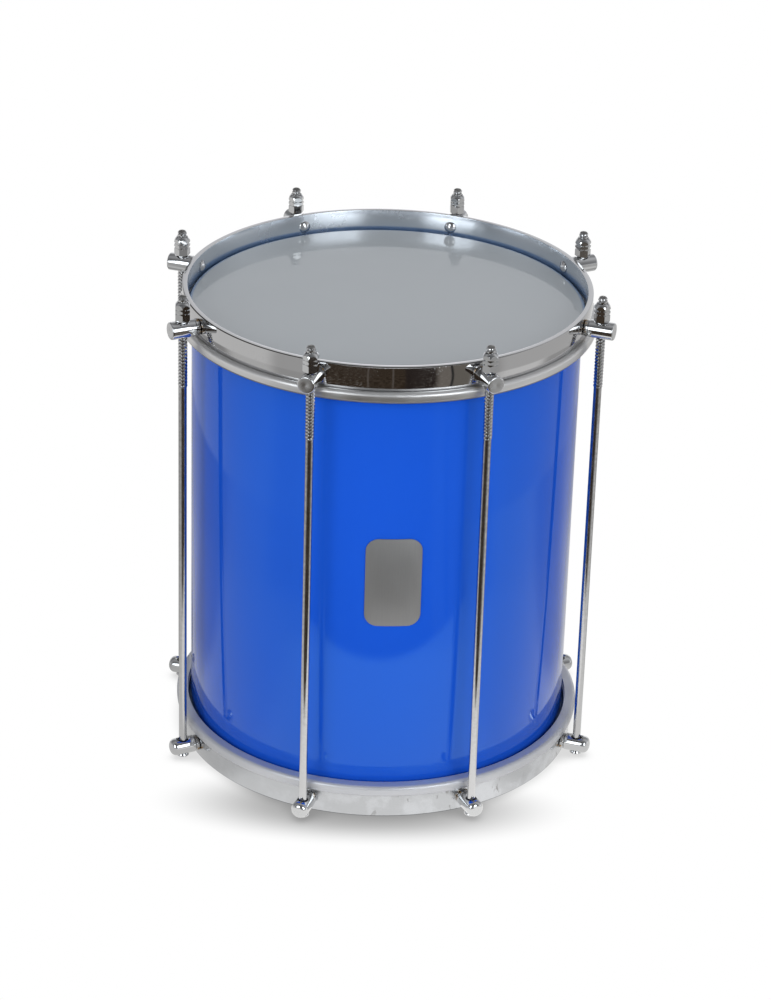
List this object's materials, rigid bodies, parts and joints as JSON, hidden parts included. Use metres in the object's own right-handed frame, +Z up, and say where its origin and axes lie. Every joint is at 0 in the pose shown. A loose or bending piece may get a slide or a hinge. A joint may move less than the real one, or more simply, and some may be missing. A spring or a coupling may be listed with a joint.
{
  "type": "repinique samba drum",
  "caption": "Double-headed cylindrical hand and stick drum: thin metal shell, flat counter hoops and full-length tension rods with barrel lugs and hexagonal tuning nuts.",
  "frame": {"origin": "middle of the lower hoop's resting rim, which is the bottom centre of the bounding box", "axes": "+Z up along the shell's axis, -Y out through the badge plate, tension rods at 22.5 degrees either side of -Y and every 45 degrees from there"},
  "size_m": [0.2862, 0.2862, 0.336],
  "materials": {
    "blue_lacquer": "glossy blue lacquer over sheet aluminium",
    "milky_film": "smooth milky polyester film",
    "aluminium": "bright satin",
    "chrome": "polished chrome plate on steel",
    "rod_steel": "bright zinc plate",
    "badge_metal": "satin metal plate"
  },
  "bodies": {
    "drum": {"shell": "blue_lacquer", "top_head": "milky_film", "bottom_head": "milky_film", "top_flesh_hoop": "aluminium", "bottom_flesh_hoop": "aluminium", "bottom_hoop": "chrome", "badge_plate": "badge_metal", "tension_rod_1": "rod_steel", "tension_rod_2": "rod_steel", "tension_rod_3": "rod_steel", "tension_rod_4": "rod_steel", "tension_rod_5": "rod_steel", "tension_rod_6": "rod_steel", "tension_rod_7": "rod_steel", "tension_rod_8": "rod_steel", "lower_barrel_1": "chrome", "lower_barrel_2": "chrome", "lower_barrel_3": "chrome", "lower_barrel_4": "chrome", "lower_barrel_5": "chrome", "lower_barrel_6": "chrome", "lower_barrel_7": "chrome", "lower_barrel_8": "chrome", "lower_rivet_1": "chrome", "lower_rivet_2": "chrome", "lower_rivet_3": "chrome", "lower_rivet_4": "chrome", "lower_rivet_5": "chrome", "lower_rivet_6": "chrome", "lower_rivet_7": "chrome", "lower_rivet_8": "chrome"},
    "upper_counter_hoop": {"top_hoop": "chrome", "upper_barrel_1": "chrome", "upper_barrel_2": "chrome", "upper_barrel_3": "chrome", "upper_barrel_4": "chrome", "upper_barrel_5": "chrome", "upper_barrel_6": "chrome", "upper_barrel_7": "chrome", "upper_barrel_8": "chrome", "upper_rivet_1": "chrome", "upper_rivet_2": "chrome", "upper_rivet_3": "chrome", "upper_rivet_4": "chrome", "upper_rivet_5": "chrome", "upper_rivet_6": "chrome", "upper_rivet_7": "chrome", "upper_rivet_8": "chrome"},
    "nut_1": {"tuning_nut_1": "chrome"},
    "nut_2": {"tuning_nut_2": "chrome"},
    "nut_3": {"tuning_nut_3": "chrome"},
    "nut_4": {"tuning_nut_4": "chrome"},
    "nut_5": {"tuning_nut_5": "chrome"},
    "nut_6": {"tuning_nut_6": "chrome"},
    "nut_7": {"tuning_nut_7": "chrome"},
    "nut_8": {"tuning_nut_8": "chrome"}
  },
  "joints": [
    {"name": "hoop_rise", "type": "slide", "parent": "drum", "child": "upper_counter_hoop", "axis": [0, 0, 1], "range_m": [0, 0.004]},
    {"name": "nut_turn_1", "type": "hinge", "parent": "upper_counter_hoop", "child": "nut_1", "pos_m": [-0.05507, -0.13295, 0.319], "axis": [0, 0, 1], "range_deg": [0, 1440]},
    {"name": "nut_turn_2", "type": "hinge", "parent": "upper_counter_hoop", "child": "nut_2", "pos_m": [0.05507, -0.13295, 0.319], "axis": [0, 0, 1], "range_deg": [0, 1440]},
    {"name": "nut_turn_3", "type": "hinge", "parent": "upper_counter_hoop", "child": "nut_3", "pos_m": [0.13295, -0.05507, 0.319], "axis": [0, 0, 1], "range_deg": [0, 1440]},
    {"name": "nut_turn_4", "type": "hinge", "parent": "upper_counter_hoop", "child": "nut_4", "pos_m": [0.13295, 0.05507, 0.319], "axis": [0, 0, 1], "range_deg": [0, 1440]},
    {"name": "nut_turn_5", "type": "hinge", "parent": "upper_counter_hoop", "child": "nut_5", "pos_m": [0.05507, 0.13295, 0.319], "axis": [0, 0, 1], "range_deg": [0, 1440]},
    {"name": "nut_turn_6", "type": "hinge", "parent": "upper_counter_hoop", "child": "nut_6", "pos_m": [-0.05507, 0.13295, 0.319], "axis": [0, 0, 1], "range_deg": [0, 1440]},
    {"name": "nut_turn_7", "type": "hinge", "parent": "upper_counter_hoop", "child": "nut_7", "pos_m": [-0.13295, 0.05507, 0.319], "axis": [0, 0, 1], "range_deg": [0, 1440]},
    {"name": "nut_turn_8", "type": "hinge", "parent": "upper_counter_hoop", "child": "nut_8", "pos_m": [-0.13295, -0.05507, 0.319], "axis": [0, 0, 1], "range_deg": [0, 1440]}
  ],
  "couplings": [
    {"joint": "nut_turn_1", "follows": "hoop_rise", "rad_per_m": 6283.2},
    {"joint": "nut_turn_2", "follows": "hoop_rise", "rad_per_m": 6283.2},
    {"joint": "nut_turn_3", "follows": "hoop_rise", "rad_per_m": 6283.2},
    {"joint": "nut_turn_4", "follows": "hoop_rise", "rad_per_m": 6283.2},
    {"joint": "nut_turn_5", "follows": "hoop_rise", "rad_per_m": 6283.2},
    {"joint": "nut_turn_6", "follows": "hoop_rise", "rad_per_m": 6283.2},
    {"joint": "nut_turn_7", "follows": "hoop_rise", "rad_per_m": 6283.2},
    {"joint": "nut_turn_8", "follows": "hoop_rise", "rad_per_m": 6283.2}
  ]
}
